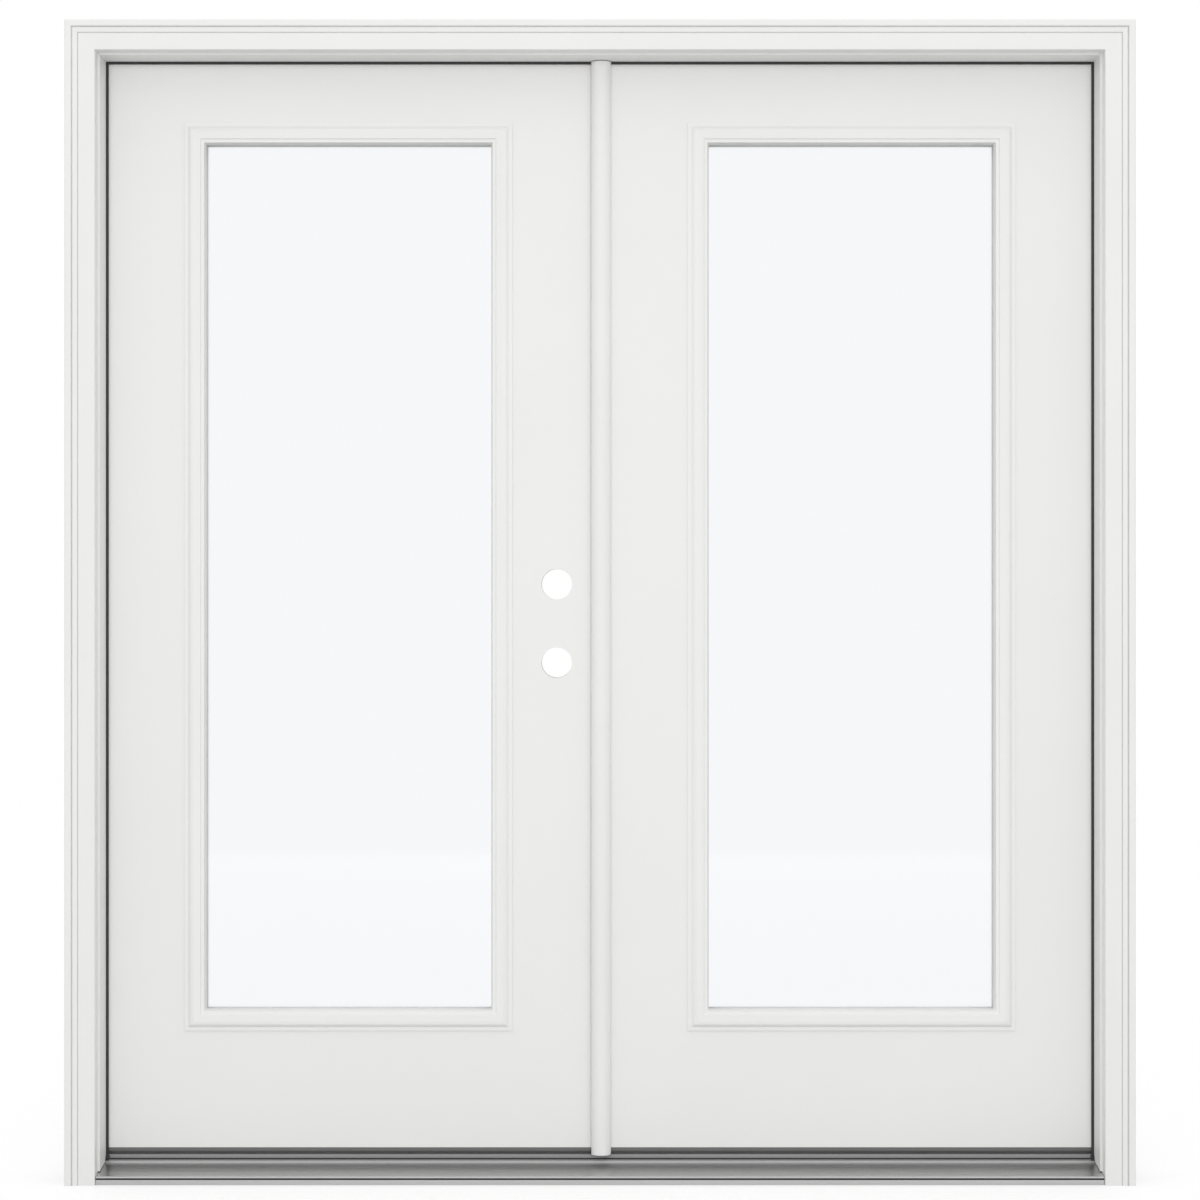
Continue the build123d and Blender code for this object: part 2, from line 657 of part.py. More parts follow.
def sweep_strip():
    return crossbar(sweep_section(), (HINGE_EDGE + SWEEP_END_MARGIN, MEETING_EDGE - SWEEP_END_MARGIN))


# Astragal and its flush bolts


def astragal():
    """Half-round face over the meeting line, on a stem that carries the flush bolts."""
    edge_y = ASTRAGAL_BACK - ASTRAGAL_EDGE
    crown = (ASTRAGAL_FACE_OFFSET, edge_y - ASTRAGAL_FACE_WIDTH / 2)
    face = [(ASTRAGAL_LEFT, ASTRAGAL_BACK), (ASTRAGAL_LEFT, edge_y), [crown, (ASTRAGAL_RIGHT, edge_y)]]
    seat = [(ASTRAGAL_RIGHT, LEAF_FRONT), (STEM_RIGHT, LEAF_FRONT)]
    stem = [(STEM_RIGHT, LEAF_BACK), (STEM_LEFT, LEAF_BACK), (STEM_LEFT, ASTRAGAL_BACK)]
    bar = upright(face + seat + stem, (ASTRAGAL_FOOT, ASTRAGAL_FACE_TOP))
    bar += block((STEM_LEFT, STEM_RIGHT), (LEAF_FRONT, LEAF_BACK), (ASTRAGAL_FACE_TOP, LEAF_TOP))
    return bar - case_body(LEAF_TOP - CASE_HEIGHT) - case_body(ASTRAGAL_FOOT) - strike_recesses()


def strike_recesses():
    """Let-in places for the two strikes on the stem, each with a keeper pocket for the bolt."""
    cuts = Part()
    pockets = [(STRIKE_WIDTH, STRIKE_HEIGHT, STRIKE_DEPTH), (KEEPER_WIDTH, KEEPER_HEIGHT, KEEPER_DEPTH)]
    for z in BORE_HEIGHTS:
        for width, height, depth in pockets:
            pocket_y = (LEAF_MIDDLE - width / 2, LEAF_MIDDLE + width / 2)
            pocket_z = (z - height / 2, z + height / 2)
            cuts += block((STEM_LEFT - OVERRUN, STEM_LEFT + depth), pocket_y, pocket_z)
    return cuts


def astragal_weatherstrip():
    """Bulb on the back of the face, against the active leaf."""
    left = ASTRAGAL_LEFT + ASTRAGAL_STRIP_INSET
    right = left + ASTRAGAL_STRIP_WIDTH
    crown = ((left + right) / 2, STRIP_BACK)
    return upright([(left, ASTRAGAL_BACK), [crown, (right, ASTRAGAL_BACK)]], (ASTRAGAL_FOOT, ASTRAGAL_FACE_TOP))


def case_body(base):
    case_y = (BOLT_Y - CASE_WIDTH / 2, BOLT_Y + CASE_WIDTH / 2)
    return block((STEM_LEFT, STEM_LEFT + CASE_DEPTH), case_y, (base, base + CASE_HEIGHT))


def lug(base, play):
    """Thumb lug of a bolt, or the slot for it with some play and the bolt's travel."""
    half_width = LUG_WIDTH / 2 + play
    foot = base - play
    height = LUG_HEIGHT + 2 * play
    lug_y = (BOLT_Y - half_width, BOLT_Y + half_width)
    return block((STEM_LEFT - LUG_PROUD, BOLT_X), lug_y, (foot, foot + height))


def top_lug_base():
    return LEAF_TOP - LUG_DISTANCE - LUG_HEIGHT


def bottom_lug_base():
    return ASTRAGAL_FOOT + LUG_DISTANCE


def top_flush_bolt_case():
    base = LEAF_TOP - CASE_HEIGHT
    bore = rod(BOLT_RADIUS + BOLT_CLEARANCE, (BOLT_X, BOLT_Y, base + CASE_TAIL), ALONG_Z, CASE_HEIGHT)
    slot = lug(top_lug_base(), LUG_PLAY) + lug(top_lug_base() + BOLT_TRAVEL, LUG_PLAY)
    return case_body(base) - bore - slot


def top_flush_bolt():
    base = LEAF_TOP - CASE_HEIGHT + CASE_TAIL + BOLT_END_PLAY
    pin = rod(BOLT_RADIUS, (BOLT_X, BOLT_Y, base), ALONG_Z, LEAF_TOP - BOLT_SETBACK - base)
    return pin + lug(top_lug_base(), 0)


def bottom_flush_bolt_case():
    top = ASTRAGAL_FOOT + CASE_HEIGHT - CASE_TAIL
    bore = rod(BOLT_RADIUS + BOLT_CLEARANCE, (BOLT_X, BOLT_Y, top - CASE_HEIGHT), ALONG_Z, CASE_HEIGHT)
    slot = lug(bottom_lug_base(), LUG_PLAY) + lug(bottom_lug_base() - BOLT_TRAVEL, LUG_PLAY)
    return case_body(ASTRAGAL_FOOT) - bore - slot


def bottom_flush_bolt():
    top = ASTRAGAL_FOOT + CASE_HEIGHT - CASE_TAIL - BOLT_END_PLAY
    foot = ASTRAGAL_FOOT + BOLT_SETBACK
    pin = rod(BOLT_RADIUS, (BOLT_X, BOLT_Y, foot), ALONG_Z, top - foot)
    return pin + lug(bottom_lug_base(), 0)


# Nodes


def frame_nodes():
    jamb = left_jamb()
    leg = left_brickmould()
    strip = left_weatherstrip()
    gasket = left_foot_gasket()
    return {
        "left_jamb": jamb,
        "right_jamb": to_right(jamb),
        "head_jamb": head_jamb(),
        "left_brickmould": leg,
        "right_brickmould": to_right(leg),
        "head_brickmould": head_brickmould(),
        "sill_deck": sill_deck(),
        "sill_substrate": sill_substrate(),
        "threshold_cap": threshold_cap(),
        "left_weatherstrip": strip,
        "right_weatherstrip": to_right(strip),
        "head_weatherstrip": head_weatherstrip(),
        "left_foot_gasket": gasket,
        "right_foot_gasket": to_right(gasket),
        "active_frame_hinges": frame_hinges(),
        "passive_frame_hinges": to_right(frame_hinges()),
        "active_hinge_pins": hinge_pins(),
        "passive_hinge_pins": to_right(hinge_pins()),
    }


def leaf_nodes():
    """The pieces that both leaves have, on the left half."""
    return {
        "exterior_skin": exterior_skin(),
        "interior_skin": interior_skin(),
        "hinge_stile": hinge_stile(),
        "meeting_stile": meeting_stile(),
        "top_rail": top_rail(),
        "bottom_rail": bottom_rail(),
        "foam_core": foam_core(),
        "exterior_lite_frame": exterior_lite_frame(),
        "interior_lite_frame": interior_lite_frame(),
        "exterior_pane": exterior_pane(),
        "interior_pane": interior_pane(),
        "glass_spacer": glass_spacer(),
        "sweep": sweep_strip(),
        "leaf_hinges": leaf_hinges(),
    }


def active_leaf_nodes(shared):
    """The left leaf, with its lock block, lock bores and latch bores."""
    nodes = {"active_" + name: solid for name, solid in shared.items()}
    bores = cross_bores()
    latches = edge_bores()
    for name in ("active_exterior_skin", "active_interior_skin"):
        nodes[name] = nodes[name] - bores
    nodes["active_meeting_stile"] = nodes["active_meeting_stile"] - latches
    nodes["active_foam_core"] = nodes["active_foam_core"] - lock_block()
    nodes["active_lock_block"] = lock_block() - bores - latches
    return nodes


def passive_leaf_nodes(shared):
    """The right leaf, with the astragal and its flush bolts."""
    nodes = {"passive_" + name: to_right(solid) for name, solid in shared.items()}
    nodes["astragal"] = astragal()
    nodes["astragal_weatherstrip"] = astragal_weatherstrip()
    nodes["top_flush_bolt_case"] = top_flush_bolt_case()
    nodes["top_flush_bolt"] = top_flush_bolt()
    nodes["bottom_flush_bolt_case"] = bottom_flush_bolt_case()
    nodes["bottom_flush_bolt"] = bottom_flush_bolt()
    return nodes


def main():
    shared = leaf_nodes()
    nodes = frame_nodes()
    nodes.update(active_leaf_nodes(shared))
    nodes.update(passive_leaf_nodes(shared))
    os.makedirs("parts", exist_ok=True)
    for name, solid in nodes.items():
        export_step(solid, os.path.join("parts", name + ".step"))


main()
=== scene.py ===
import json
import math

import bmesh
import bpy
from bpy.props import FloatProperty, FloatVectorProperty, IntProperty, PointerProperty
from bpy.types import Operator, Panel, PropertyGroup
from mathutils import Matrix, Vector


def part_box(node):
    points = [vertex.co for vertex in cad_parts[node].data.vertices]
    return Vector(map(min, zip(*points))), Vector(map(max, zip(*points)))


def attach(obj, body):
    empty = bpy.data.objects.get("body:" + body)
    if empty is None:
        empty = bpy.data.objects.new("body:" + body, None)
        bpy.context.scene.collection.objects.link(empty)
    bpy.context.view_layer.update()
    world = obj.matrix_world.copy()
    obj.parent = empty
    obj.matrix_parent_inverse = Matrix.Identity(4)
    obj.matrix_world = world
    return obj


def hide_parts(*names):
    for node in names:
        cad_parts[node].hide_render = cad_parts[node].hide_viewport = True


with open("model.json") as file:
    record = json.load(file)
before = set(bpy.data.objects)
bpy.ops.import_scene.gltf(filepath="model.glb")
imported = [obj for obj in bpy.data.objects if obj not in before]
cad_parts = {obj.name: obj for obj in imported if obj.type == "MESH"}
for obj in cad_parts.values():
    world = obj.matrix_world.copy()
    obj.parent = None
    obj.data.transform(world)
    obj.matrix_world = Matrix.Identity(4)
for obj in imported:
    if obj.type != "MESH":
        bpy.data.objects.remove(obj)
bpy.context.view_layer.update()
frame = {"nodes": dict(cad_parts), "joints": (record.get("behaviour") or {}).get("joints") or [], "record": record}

bl_info = {
    "name": "Patio Door Pair",
    "version": (1, 0, 0),
    "blender": (4, 5, 0),
    "location": "3D View > Sidebar > Patio Door",
    "description": "Dresses a pair of inswing patio doors in their brickmoulded frame",
    "category": "Object",
}

MM = 0.001
MOUNTS = {mount["name"]: mount for mount in frame["record"]["mounts"]}
JOINTS = {joint["name"]: joint for joint in frame["joints"]}
LEAVES = ("active", "passive")
OUTWARD = {"exterior": -1, "interior": 1}

# Noise in the finishes: how many sizes of spot it mixes, and the limits that nearly all of it lies between
NOISE_DETAIL = 3.0
NOISE_LOW = 0.3
NOISE_HIGH = 0.7

# How meshes are merged, cut, rounded and shaded
NODE_MERGE = 0.005 * MM
RING_MERGE = 0.001 * MM
CUT_TOLERANCE = 1e-7
FLAT_ANGLE = math.radians(0.5)
SMOOTH_ANGLE = math.radians(32)
EASE_ANGLE = math.radians(40)
EASE_SEGMENTS = 2
CORNER_SEGMENTS = 5
FOLD_SEGMENTS = 4
ROUND_SEGMENTS = 40

# Brickmould section in millimetres: across from the inner edge, out from the wall, corner radius
CASING_SECTION = [
    (0, 0), (0, 28.96, 2.0), (28.9, 28.96, 0.6), (29.9, 26.3), (31.0, 29.3, 0.6), (38.9, 30.4, 0.6),
    (40.1, 26.9), (41.3, 30.6, 0.5), (42.0, 32.0, 1.2), (53.0, 32.0, 3.2), (53.0, 0),
]
CASING_WIDTH = CASING_SECTION[-1][0] * MM

# Lite frame section in millimetres: outward from the sight edge, proud of the leaf, corner radius
LITE_SECTION = [
    (0, -9.7), (2.8, 4.4, 0.8), (8.4, 5.4, 0.4), (9.3, 7.8, 0.8), (20.5, 10.0, 2.0), (26.8, 8.28, 3.0),
    (31.4, 3.6, 1.2), (38.0, 3.2, 0.6), (38.0, 0.05), (16.0, 0.05), (16.0, -9.7),
]
LITE_BORDER = 38 * MM
LITE_OVERLAP = 15 * MM

# Plugs over the screws of the inner lite frames: out from the sight edge, proud of the leaf, height to width
PLUG_OUT = 14.9 * MM
PLUG_PROUD = 9.1 * MM
PLUG_FLATNESS = 0.25
PLUG_SEGMENTS = 20
PLUG_RINGS = 8

# Steel skins, and the lock bores that go through those of the active leaf
SKIN_THICKNESS = 0.7 * MM
SKIN_RETURN = 9 * MM
LOCK_BORES = (MOUNTS["lockset_bore"], MOUNTS["deadbolt_bore"])

# Dark seals along the sill, as sections in millimetres across Y and Z with corner radii.
# The nose gasket and the cap seal are also painted shade: dark strips set in the gaps under the nose and the cap.
NOSE_SHADE_GASKET = [(-21.8, 9.05, 0.4), (-21.8, 11.95, 0.4), (-19.75, 11.95), (-19.75, 9.05)]
CAP_SHADE_SEAL = [(60.3, 29.0), (60.3, 29.9, 0.4), (66.8, 30.6), (66.8, 29.0)]
CORNER_PAD = [
    (59.4, 27.45), (59.4, 35.4, 1.5), (64.9, 36.8), (64.9, 29.05), (60.05, 29.05), (60.05, 27.45),
]
NOSE_HALF = 879.5 * MM
STOP_HALF = 876.2 * MM
PAD_WIDTH = 6.5 * MM

# Countersunk screws, as shares of the head's radius
SCREW_SEGMENTS = 24
CROSS_ARM_SHARE = 0.56
CROSS_HALF_SHARE = 0.14
CROSS_DEPTH_SHARE = 0.35
SHANK_SHARE = 0.6
HEAD_DEPTH_SHARE = 0.5

# Their places on the threshold cap and on the faces of the flush bolts
SCREW_PROUD = 0.1 * MM
CAP_SCREW_END = 90 * MM
CAP_SCREW_Y = 75 * MM
BOLT_SCREW_END = 8 * MM
BOLT_SCREW_SIDE = 4 * MM

# Butt hinges of the active leaf: each plate spans X from its back to its open face
HINGE_AXIS = Vector((*JOINTS["active_swing"]["pos_m"][:2], 0))
HINGE_BASES = [base * MM for base in (303.0, 1004.08, 1705.15)]
HINGE_HEIGHT = 101.6 * MM
KNUCKLE_COUNT = 3
KNUCKLE_RADIUS = 6.5 * MM
KNUCKLE_GAP = 0.4 * MM
KNUCKLE_LAP = 1 * MM
PIN_RADIUS = 3 * MM
PIN_HEAD_RADIUS = 5.2 * MM
PIN_HEAD_HEIGHT = 3 * MM
PIN_CROWN_SHARE = 0.7
PIN_CROWN_SEGMENTS = 4
PLATE_Y = (82 * MM, 116 * MM)
FRAME_PLATE_X = (-891.4 * MM, -888.8 * MM)
LEAF_PLATE_X = (-883.3 * MM, -885.9 * MM)

# Screws on each hinge plate in millimetres: Y, and height over the plate's foot
SCREW_PLACES = [(90, 12), (104, 36), (90, 65.6), (104, 89.6)]

# Floor and lamp of the studio in metres, and the light added to the floor where it is seen
FLOOR_HALF = 14
FLOOR_LIFT = (0.46, 0.46, 0.46, 1)
LAMP_SIZE = (4.0, 3.0)
LAMP_PLACE = Vector((0, -6.5, 1.7))
LAMP_AIM = Vector((0, 0, 0.9))

# Camera's sensor in millimetres
SENSOR_WIDTH = 36


def linear(code):
    """Linear RGB of an sRGB hex code."""
    shares = [int(code[i:i + 2], 16) / 255 for i in (1, 3, 5)]
    return [s / 12.92 if s <= 0.04045 else ((s + 0.055) / 1.055) ** 2.4 for s in shares]


def colour(name, code, description):
    return FloatVectorProperty(
        name=name, description=description, default=linear(code), subtype="COLOR", size=3, min=0, max=1)


def length(name, millimetres, description):
    return FloatProperty(name=name, description=description, default=millimetres * MM, unit="LENGTH")


class PatioDoorColours(PropertyGroup):
    """Colours of the finishes."""

    paint: colour("Frame paint", "#ECECEB", "Satin paint on the jambs, head, brickmould and astragal")
    skin: colour("Skin primer", "#EDEDEB", "Baked primer on the steel skins")
    primer: colour("Edge primer", "#E3E1DB", "Primer on the timber edges of the leaves")
    lite: colour("Lite frame", "#EDEDEB", "Moulded plastic of the lite frames")
    glass: colour("Glass", "#FAFBFC", "Faint tint of the clear panes")
    aluminium: colour("Sill aluminium", "#C6C6C6", "Mill finish of the sill deck")
    composite: colour("Threshold", "#959595", "Moulded threshold cap and sill base")
    rubber: colour("Seals", "#3A3A3B", "Foam weatherstrip")
    vinyl: colour("Sweeps", "#6E6E6E", "Bottom sweeps of the leaves")
    steel: colour("Hinge steel", "#B9B7B1", "Satin nickel on hinges and bolts")
    spacer: colour("Glazing spacer", "#D5D6D6", "Coated metal spacer between the panes")
    foam: colour("Foam core", "#E5DCC0", "Insulating foam inside the leaves")
    floor: colour("Floor", "#C6C6C6", "Plain studio floor")


class PatioDoorSizes(PropertyGroup):
    """Sizes of the small details."""

    skin_fold: length("Skin fold", 1.4, "Radius where a skin folds round the leaf's edge")
    timber_ease: length("Timber ease", 0.6, "Eased edges of the painted timber")
    metal_ease: length("Metal ease", 0.35, "Eased edges of plates and knuckles")
    screw_radius: length("Screw head", 4.1, "Radius of the countersunk screw heads on hinges and threshold")
    bolt_screw_radius: length("Bolt screw head", 3.0, "Radius of the screw heads on the flush bolts")
    plug_radius: length("Screw plug", 4.6, "Radius of the plugs over the screws of the inner lite frames")
    plug_pitch: length("Plug pitch", 290, "Spacing of those plugs along the lite frames")
    bore_segments: IntProperty(
        name="Bore segments", description="Sides of the lock bores in the skins", default=72, min=24)
    cap_screws: IntProperty(
        name="Cap screws", description="Height screws along the threshold cap", default=8, min=2)


class PatioDoorStage(PropertyGroup):
    """Camera and light."""

    distance: FloatProperty(
        name="Camera distance", description="From the wall plane to the lens", default=5.232, unit="LENGTH")
    height: FloatProperty(
        name="Camera height", description="Height of the lens over the floor", default=1.0205, unit="LENGTH")
    lens: FloatProperty(
        name="Lens", description="Focal length in millimetres on a 36 mm sensor", default=89.6)
    sky: FloatProperty(name="Sky", description="Strength of the soft light from all round", default=0.95)
    key: FloatProperty(
        name="Key lamp", description="Power of the large lamp in front", default=105.0, unit="POWER")


# Finishes


def add(tree, kind, inputs=None, **settings):
    """Adds a node with its settings, and sets its inputs or links them to sockets."""
    node = tree.nodes.new(kind)
    for name, value in settings.items():
        setattr(node, name, value)
    for name, value in (inputs or {}).items():
        if isinstance(value, bpy.types.NodeSocket):
            tree.links.new(value, node.inputs[name])
        else:
            node.inputs[name].default_value = value
    return node


def colours():
    return bpy.context.scene.patio_door_colours


def sizes():
    return bpy.context.scene.patio_door_sizes


def finish(name, base, shade=None, gloss=None, bump=None, lets_light=False, **fixed):
    """The material of that name, made on first use.

    Shade, gloss and bump each start with the size of their spots in millimetres along X, Y and Z.
    Then shade gives the share that the colour darkens by, gloss the lowest and highest roughness,
    and bump its height in millimetres. Fixed values go to the shader's own sockets.
    """
    found = bpy.data.materials.get(name)
    if found:
        return found
    made = bpy.data.materials.new(name)
    made.use_nodes = True
    tree = made.node_tree
    shader = tree.nodes["Principled BSDF"]
    shader.inputs["Base Color"].default_value = (*base, 1)
    for socket, value in fixed.items():
        shader.inputs[socket.replace("_", " ")].default_value = value
    where = add(tree, "ShaderNodeTexCoord").outputs["Object"]
    for socket, pattern in (("Base Color", shade), ("Roughness", gloss), ("Normal", bump)):
        if not pattern:
            continue
        scale = [1 / (span * MM) for span in pattern[0]]
        spread = add(tree, "ShaderNodeMapping", {"Vector": where, "Scale": scale})
        grain = {"Vector": spread.outputs[0], "Scale": 1.0, "Detail": NOISE_DETAIL}
        spots = add(tree, "ShaderNodeTexNoise", grain).outputs["Fac"]
        ends = {"Value": spots, "From Min": NOISE_LOW, "From Max": NOISE_HIGH}
        if socket == "Base Color":
            pale = add(tree, "ShaderNodeMapRange", ends).outputs["Result"]
            dark = [part * (1 - pattern[1]) for part in base]
            shades = {0: pale, 6: (*dark, 1), 7: (*base, 1)}
            last = add(tree, "ShaderNodeMix", shades, data_type="RGBA").outputs[2]
        elif socket == "Roughness":
            ends |= {"To Min": pattern[1], "To Max": pattern[2]}
            last = add(tree, "ShaderNodeMapRange", ends).outputs["Result"]
        else:
            relief = {"Height": spots, "Distance": pattern[1] * MM}
            last = add(tree, "ShaderNodeBump", relief).outputs["Normal"]
        tree.links.new(last, shader.inputs[socket])
    if lets_light:
        ray = add(tree, "ShaderNodeLightPath").outputs
        lighting = {0: ray["Is Shadow Ray"], 1: ray["Is Diffuse Ray"]}
        lit = add(tree, "ShaderNodeMath", lighting, operation="MAXIMUM").outputs[0]
        clear = add(tree, "ShaderNodeBsdfTransparent").outputs[0]
        both = add(tree, "ShaderNodeMixShader", {0: lit, 1: shader.outputs[0], 2: clear}).outputs[0]
        tree.links.new(both, tree.nodes["Material Output"].inputs["Surface"])
    return made


def painted_timber():
    # Sprayed acrylic on primed pine: soft satin white, with long shallow waves of the wood under it.
    return finish("Satin painted pine", colours().paint, ((90, 90, 260), 0.02), ((30, 30, 80), 0.40, 0.50),
                  ((1.6, 1.6, 1.6), 0.02))


def primed_steel():
    # Rolled steel sheet under baked primer: even and smooth, with the faint dimples of the paint film.
    return finish("Primed steel sheet", colours().skin, ((320, 320, 320), 0.015), ((60, 60, 60), 0.42, 0.50),
                  ((2.4, 2.4, 2.4), 0.015))


def primed_timber():
    # Brushed primer on finger-jointed pine: matt off-white with the brush's streaks along the stile.
    return finish("Primed pine", colours().primer, ((3, 3, 120), 0.05), ((2, 2, 60), 0.55, 0.70),
                  ((0.9, 0.9, 40), 0.04))


def moulded_plastic():
    # Injection-moulded ABS: matt white with a fine spark-eroded grain, drawn coarse enough to show.
    return finish("Moulded ABS", colours().lite, ((200, 200, 200), 0.012), ((25, 25, 25), 0.40, 0.48),
                  ((1.1, 1.1, 1.1), 0.012))


def clear_glass():
    # Float glass: clear with a trace of blue, mirror-smooth, and light falls through it on the frame behind.
    return finish("Float glass", colours().glass, lets_light=True, Roughness=0.0, IOR=1.5,
                  Transmission_Weight=1.0)


def mill_aluminium():
    # Extruded aluminium as it leaves the die: grey sheen drawn into fine lines along the sill.
    return finish("Mill finish aluminium", colours().aluminium, ((600, 1.5, 1.5), 0.12),
                  ((300, 0.8, 0.8), 0.24, 0.36), ((500, 0.9, 0.9), 0.02), Metallic=1.0)


def moulded_composite():
    # Filled polymer: even mid grey with a dull, slightly speckled face.
    return finish("Moulded composite", colours().composite, ((1.2, 1.2, 1.2), 0.10), ((4, 4, 4), 0.45, 0.60),
                  ((0.8, 0.8, 0.8), 0.03))


def seal_foam():
    # Skinned urethane foam: soft charcoal that scatters light, with a fine open pore.
    return finish("Foam seal", colours().rubber, ((0.9, 0.9, 0.9), 0.25), ((3, 3, 3), 0.65, 0.85),
                  ((0.7, 0.7, 0.7), 0.08))


def sweep_vinyl():
    # Extruded soft vinyl: smooth dark grey with a low sheen drawn along the strip.
    return finish("Extruded vinyl", colours().vinyl, ((200, 2, 2), 0.10), ((80, 1.5, 1.5), 0.40, 0.55),
                  ((60, 0.8, 0.8), 0.01))


def satin_nickel():
    # Nickel-plated steel, brushed upwards: warm grey with stretched highlights.
    return finish("Satin nickel", colours().steel, ((0.6, 0.6, 25), 0.10), ((0.5, 0.5, 20), 0.26, 0.40),
                  ((0.5, 0.5, 30), 0.01), Metallic=1.0)


def spacer_metal():
    # Roll-formed aluminium strip with a pale lacquer: even light grey between the panes.
    return finish("Spacer strip", colours().spacer, ((6, 1, 6), 0.08), ((2, 2, 2), 0.38, 0.52),
                  ((4, 4, 4), 0.01))


def foam_board():
    # Poured polyurethane: pale cream with small closed cells.
    return finish("Polyurethane foam", colours().foam, ((1.5, 1.5, 1.5), 0.15), ((2, 2, 2), 0.80, 0.95),
                  ((1.2, 1.2, 1.2), 0.2))


# Mesh making


def verts_in(geom):
    return [item for item in geom if isinstance(item, bmesh.types.BMVert)]


def profile(bm, corners, place):
    """A face through corners in millimetres, rounded where a corner gives a radius."""
    verts = [bm.verts.new(place(corner[0] * MM, corner[1] * MM)) for corner in corners]
    bm.faces.new(verts)
    radii = {corner[2] for corner in corners if len(corner) > 2}
    for radius in sorted(radii):
        rounds = [vert for vert, corner in zip(verts, corners) if corner[2:] == (radius,)]
        bmesh.ops.bevel(bm, geom=rounds, offset=radius * MM, offset_type="OFFSET", affect="VERTICES",
                        segments=CORNER_SEGMENTS, profile=0.5, material=-1)
    return bm.faces[:]


def bar(corners, place, run):
    """A bar over a section, swept by the vector run."""
    bm = bmesh.new()
    swept = bmesh.ops.extrude_face_region(bm, geom=profile(bm, corners, place))
    bmesh.ops.translate(bm, vec=run, verts=verts_in(swept["geom"]))
    bmesh.ops.recalc_face_normals(bm, faces=bm.faces)
    return bm


def mitre(bm, corner, outer):
    """Cuts a bar off in the plane through corner, on the side that outer points to."""
    geom = bm.verts[:] + bm.edges[:] + bm.faces[:]
    cut = bmesh.ops.bisect_plane(
        bm, geom=geom, dist=CUT_TOLERANCE, plane_co=corner, plane_no=outer, clear_outer=True)
    edges = [item for item in cut["geom_cut"] if isinstance(item, bmesh.types.BMEdge)]
    bmesh.ops.edgeloop_fill(bm, edges=edges)
    bmesh.ops.recalc_face_normals(bm, faces=bm.faces)


def frame_ring(corners, place, centre, half_width, half_height):
    """A mitred rectangular ring: the section at one corner is swept to the next by turning it over."""
    bm = bmesh.new()
    faces = profile(bm, corners, lambda out, proud: (half_width + out, place(proud), half_height + out))
    bmesh.ops.delete(bm, geom=faces, context="FACES_ONLY")
    loop = bm.edges[:]
    for turn in ((-1, 1, 1), (1, 1, -1)) * 2:
        swept = bmesh.ops.extrude_edge_only(bm, edges=loop)["geom"]
        far = verts_in(swept)
        bmesh.ops.scale(bm, vec=turn, verts=far)
        loop = [edge for edge in bm.edges if edge.verts[0] in far and edge.verts[1] in far]
    bmesh.ops.remove_doubles(bm, verts=bm.verts, dist=RING_MERGE)
    bmesh.ops.translate(bm, vec=centre, verts=bm.verts)
    bmesh.ops.recalc_face_normals(bm, faces=bm.faces)
    return bm


def turned_over(bm):
    """The same piece on the other hand."""
    bmesh.ops.scale(bm, vec=(-1, 1, 1), verts=bm.verts)
    bmesh.ops.reverse_faces(bm, faces=bm.faces)
    return bm


def copied(node):
    """A merged copy of a CAD node, with the triangles of each flat face joined."""
    bm = bmesh.new()
    bm.from_mesh(frame["nodes"][node].data)
    bmesh.ops.remove_doubles(bm, verts=bm.verts, dist=NODE_MERGE)
    bmesh.ops.dissolve_limit(bm, angle_limit=FLAT_ANGLE, verts=bm.verts, edges=bm.edges)
    return bm


def show(name, bm, body, material, replaced=(), ease=0.0):
    """Makes the piece, puts it on its body, and eases its edges."""
    mesh = bpy.data.meshes.new(name)
    bm.to_mesh(mesh)
    bm.free()
    mesh.shade_smooth()
    mesh.set_sharp_from_angle(angle=SMOOTH_ANGLE)
    mesh.materials.append(material)
    piece = bpy.data.objects.new(name, mesh)
    bpy.context.scene.collection.objects.link(piece)
    if ease:
        bevel = piece.modifiers.new("Eased edges", "BEVEL")
        bevel.width = ease
        bevel.segments = EASE_SEGMENTS
        bevel.limit_method = "ANGLE"
        bevel.angle_limit = EASE_ANGLE
    shading = piece.modifiers.new("Even shading", "WEIGHTED_NORMAL")
    shading.keep_sharp = True
    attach(piece, body)
    if replaced:
        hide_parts(*replaced)
    return piece


def dress(material, *nodes):
    """Gives CAD nodes that stay in sight their finish."""
    for node in nodes:
        for place in frame["nodes"][node].material_slots:
            place.material = material


def brick(bm, x, y, z):
    """A block between the two limits given along each axis."""
    low, high = Vector((x[0], y[0], z[0])), Vector((x[1], y[1], z[1]))
    size = [abs(span) for span in high - low]
    place = Matrix.Translation((low + high) / 2) @ Matrix.Diagonal((*size, 1))
    bmesh.ops.create_cube(bm, size=1, matrix=place)


def drum(bm, radius, foot, height):
    """A round bar that stands on foot."""
    place = Matrix.Translation(foot + Vector((0, 0, height / 2)))
    bmesh.ops.create_cone(bm, cap_ends=True, segments=ROUND_SEGMENTS, radius1=radius, radius2=radius,
                          depth=height, matrix=place)


